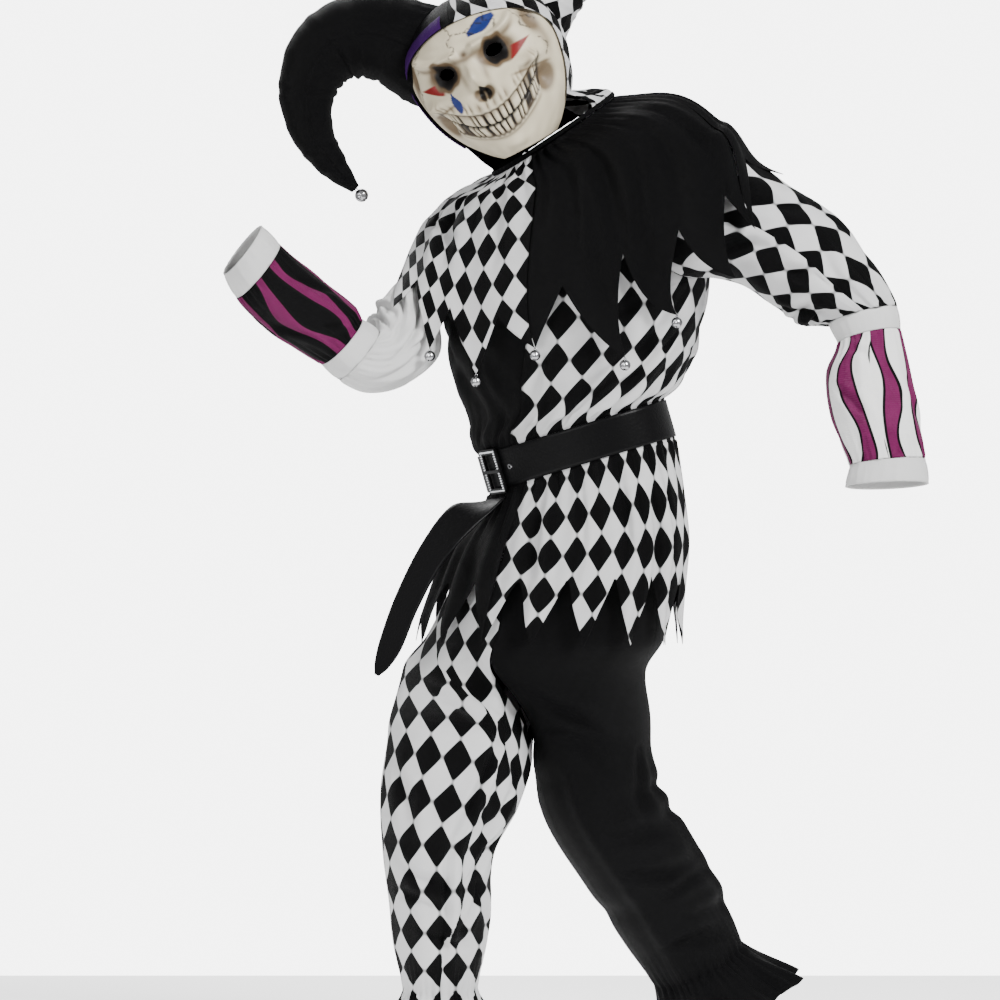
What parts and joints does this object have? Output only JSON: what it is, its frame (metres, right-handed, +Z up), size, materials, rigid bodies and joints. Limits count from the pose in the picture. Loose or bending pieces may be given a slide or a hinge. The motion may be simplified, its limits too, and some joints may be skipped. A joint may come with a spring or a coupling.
{
  "type": "jester costume",
  "caption": "Two-colour harlequin jester costume: dagged tunic and belled cape, belt, gathered trousers, horned hood with a skull mask",
  "frame": {"origin": "The middle of the neck opening, where the wearer's shoulders hold the costume up.", "axes": "+Z up, -Y the front of the costume, +X the wearer's left."},
  "size_m": [1.1465, 0.5432, 1.9091],
  "materials": {
    "black_cloth": "soft satin-like plain weave",
    "white_cloth": "soft satin-like plain weave",
    "harlequin_cloth": "printed black and white diamonds, soft plain weave",
    "purple_cloth": "satin binding",
    "black_vinyl": "semi-gloss vinyl",
    "silver_metal": "bright plated metal",
    "bone_plastic": "painted moulded plastic"
  },
  "bodies": {
    "root": {"tunic_front_right": "black_cloth", "tunic_front_left": "harlequin_cloth", "tunic_back_left": "harlequin_cloth", "tunic_back_right": "black_cloth", "sleeve_left": "harlequin_cloth", "sleeve_right": "white_cloth", "elbow_band_left": "white_cloth", "forearm_left": "white_cloth", "cuff_left": "white_cloth", "elbow_band_right": "white_cloth", "forearm_right": "black_cloth", "cuff_right": "white_cloth", "cape_front_right": "harlequin_cloth", "cape_front_left": "black_cloth", "cape_back_left": "black_cloth", "cape_back_right": "harlequin_cloth", "neck_binding": "black_cloth", "cape_bell_1": "silver_metal", "cape_bell_2": "silver_metal", "cape_bell_3": "silver_metal", "cape_bell_4": "silver_metal", "cape_bell_5": "silver_metal", "cape_bell_6": "silver_metal", "cape_bell_7": "silver_metal", "cape_bell_8": "silver_metal", "cape_bell_9": "silver_metal", "cape_bell_10": "silver_metal", "belt_strap": "black_vinyl", "belt_buckle": "silver_metal", "belt_prong": "silver_metal", "belt_eyelet": "silver_metal", "belt_tail": "black_vinyl", "trouser_waistband": "black_cloth", "trouser_right_front": "harlequin_cloth", "trouser_right_back": "harlequin_cloth", "trouser_left_front": "black_cloth", "trouser_left_back": "black_cloth", "mask": "bone_plastic", "hood_right": "black_cloth", "hood_left": "harlequin_cloth", "hood_edging": "purple_cloth", "horn_right": "black_cloth", "horn_bell_right": "silver_metal", "horn_left": "harlequin_cloth", "horn_bell_left": "silver_metal"}
  },
  "joints": []
}
